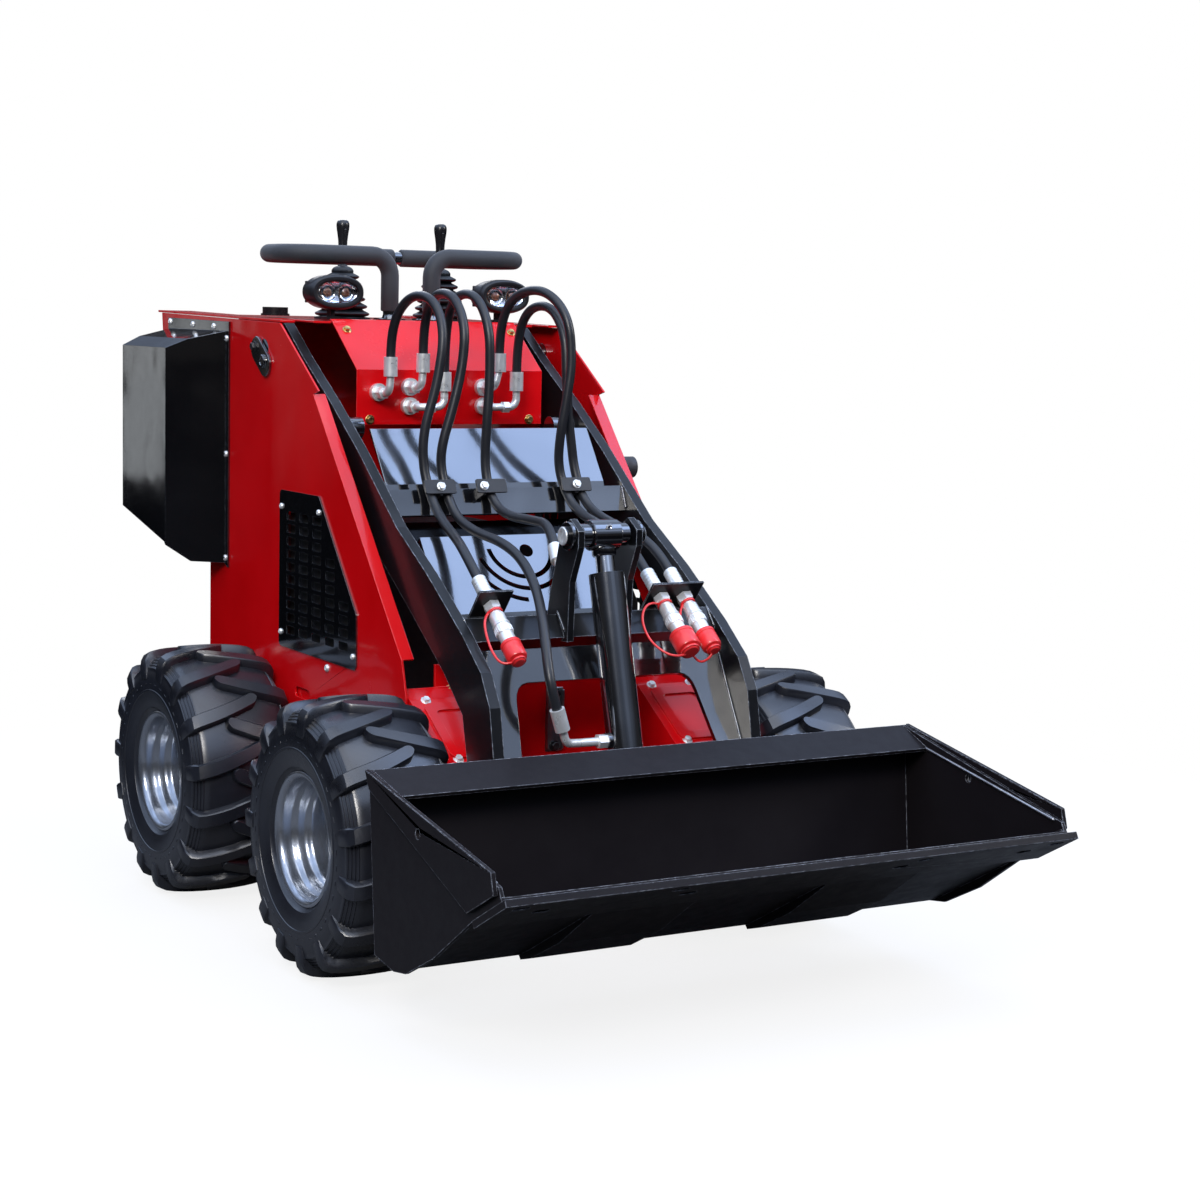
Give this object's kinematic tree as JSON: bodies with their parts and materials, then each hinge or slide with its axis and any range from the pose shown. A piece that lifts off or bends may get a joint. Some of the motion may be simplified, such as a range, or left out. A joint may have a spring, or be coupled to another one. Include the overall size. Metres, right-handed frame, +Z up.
{
  "type": "stand-on mini skid steer loader",
  "caption": "Compact stand-on skid steer loader with side lift arms, a curled-back bucket, open control deck and bar-lug tyres.",
  "frame": {"origin": "on the floor under the middle of the whole machine with its bucket, wheels resting on the floor", "axes": "+Z up, the bucket points to -Y, +X is the machine's own left side"},
  "size_m": [1.036, 1.902, 1.2499],
  "materials": {
    "bare_steel": "dull machined steel",
    "black_paint": "gloss black powder coat",
    "chrome_rod": "hard chrome",
    "engine": "dark grey",
    "foam_rubber": "soft foam sleeve",
    "hose_rubber": "smooth hydraulic hose",
    "lamp_black": "moulded lamp body",
    "lever_plastic": "moulded",
    "moulded_rubber": "matt",
    "plated_steel": "zinc plated",
    "red_paint": "gloss red powder coat",
    "red_rubber": "moulded caps",
    "rim_paint": "silver grey",
    "tyre": "bar-lug tyre"
  },
  "bodies": {
    "chassis": {"arm_pivot_pins": "plated_steel", "control_levers": "lever_plastic", "drive_motors": "bare_steel", "engine_block": "engine", "exhaust_outlet": "engine", "fan_guard": "black_paint", "filler_cap": "lever_plastic", "frame_tub": "red_paint", "hand_hoop": "foam_rubber", "headlamps": "lamp_black", "hood": "red_paint", "lever_boots": "moulded_rubber", "motor_boxes": "red_paint", "platform": "black_paint", "radiator_cover": "black_paint", "rear_panel": "red_paint", "side_grilles": "black_paint", "side_panels": "red_paint", "side_tanks": "black_paint", "sight_gauge": "plated_steel", "valve_fittings": "plated_steel", "valve_panel": "red_paint"},
    "lift_arm": {"arm_plates": "black_paint", "arm_cross_bar": "black_paint", "arm_cross_tube": "black_paint", "arm_portal": "black_paint", "hose_clamps": "black_paint", "ear_fitting": "plated_steel", "couplers": "plated_steel", "coupler_caps": "red_rubber", "hose_1": "hose_rubber", "hose_2": "hose_rubber", "hose_2_lower": "hose_rubber", "hose_3": "hose_rubber", "hose_4": "hose_rubber", "hose_5": "hose_rubber"},
    "bucket": {"bucket_shell": "black_paint", "side_cutters": "black_paint", "cutting_edge": "black_paint", "attach_plate": "black_paint", "bucket_pins": "plated_steel"},
    "tilt_barrel_body": {"tilt_barrel": "black_paint", "tilt_port": "plated_steel"},
    "tilt_rod_body": {"tilt_rod": "chrome_rod"},
    "lift_barrel_right_body": {"lift_barrel_right": "black_paint"},
    "lift_rod_right_body": {"lift_rod_right": "chrome_rod"},
    "lift_barrel_left_body": {"lift_barrel_left": "black_paint"},
    "lift_rod_left_body": {"lift_rod_left": "chrome_rod"},
    "wheel_front_right": {"tyre_front_right": "tyre", "rim_front_right": "rim_paint"},
    "wheel_front_left": {"tyre_front_left": "tyre", "rim_front_left": "rim_paint"},
    "wheel_rear_right": {"tyre_rear_right": "tyre", "rim_rear_right": "rim_paint"},
    "wheel_rear_left": {"tyre_rear_left": "tyre", "rim_rear_left": "rim_paint"}
  },
  "joints": [
    {"name": "lift", "type": "hinge", "parent": "chassis", "child": "lift_arm", "pos_m": [0, 0.405, 1.002], "axis": [-1, 0, 0], "range_deg": [0, 75], "deforming": ["hose_1", "hose_2", "hose_3", "hose_4", "hose_5"]},
    {"name": "bucket_tilt", "type": "hinge", "parent": "lift_arm", "child": "bucket", "pos_m": [0, -0.4, 0.165], "axis": [1, 0, 0], "range_deg": [0, 70], "deforming": ["hose_2_lower"]},
    {"name": "tilt_cylinder_swing", "type": "hinge", "parent": "bucket", "child": "tilt_barrel_body", "pos_m": [0, -0.446, 0.262], "axis": [1, 0, 0], "range_deg": [-76.21, 0]},
    {"name": "tilt_rod_slide", "type": "slide", "parent": "tilt_barrel_body", "child": "tilt_rod_body", "axis": [0, 0.251, 0.968], "range_m": [0, 0.1191]},
    {"name": "lift_cylinder_swing_right", "type": "hinge", "parent": "chassis", "child": "lift_barrel_right_body", "pos_m": [-0.211, 0.305, 0.3], "axis": [1, 0, 0], "range_deg": [-3.31, 0]},
    {"name": "lift_rod_slide_right", "type": "slide", "parent": "lift_barrel_right_body", "child": "lift_rod_right_body", "axis": [0, -0.1824, 0.9832], "range_m": [0, 0.3054]},
    {"name": "lift_cylinder_swing_left", "type": "hinge", "parent": "chassis", "child": "lift_barrel_left_body", "pos_m": [0.211, 0.305, 0.3], "axis": [1, 0, 0], "range_deg": [-3.31, 0]},
    {"name": "lift_rod_slide_left", "type": "slide", "parent": "lift_barrel_left_body", "child": "lift_rod_left_body", "axis": [0, -0.1824, 0.9832], "range_m": [0, 0.3054]},
    {"name": "wheel_spin_front_right", "type": "hinge", "parent": "chassis", "child": "wheel_front_right", "pos_m": [-0.409, -0.236, 0.2285], "axis": [1, 0, 0], "continuous": true},
    {"name": "wheel_spin_front_left", "type": "hinge", "parent": "chassis", "child": "wheel_front_left", "pos_m": [0.409, -0.236, 0.2285], "axis": [1, 0, 0], "continuous": true},
    {"name": "wheel_spin_rear_right", "type": "hinge", "parent": "chassis", "child": "wheel_rear_right", "pos_m": [-0.409, 0.406, 0.2285], "axis": [1, 0, 0], "continuous": true},
    {"name": "wheel_spin_rear_left", "type": "hinge", "parent": "chassis", "child": "wheel_rear_left", "pos_m": [0.409, 0.406, 0.2285], "axis": [1, 0, 0], "continuous": true}
  ],
  "couplings": [
    {"joint": "tilt_cylinder_swing", "follows": "bucket_tilt", "ratio": -1.0645},
    {"joint": "tilt_rod_slide", "follows": "bucket_tilt", "m_per_rad": 0.094766},
    {"joint": "lift_cylinder_swing_right", "follows": "lift", "ratio": -0.04061},
    {"joint": "lift_rod_slide_right", "follows": "lift", "m_per_rad": 0.22798},
    {"joint": "lift_cylinder_swing_left", "follows": "lift", "ratio": -0.04061},
    {"joint": "lift_rod_slide_left", "follows": "lift", "m_per_rad": 0.22798}
  ]
}
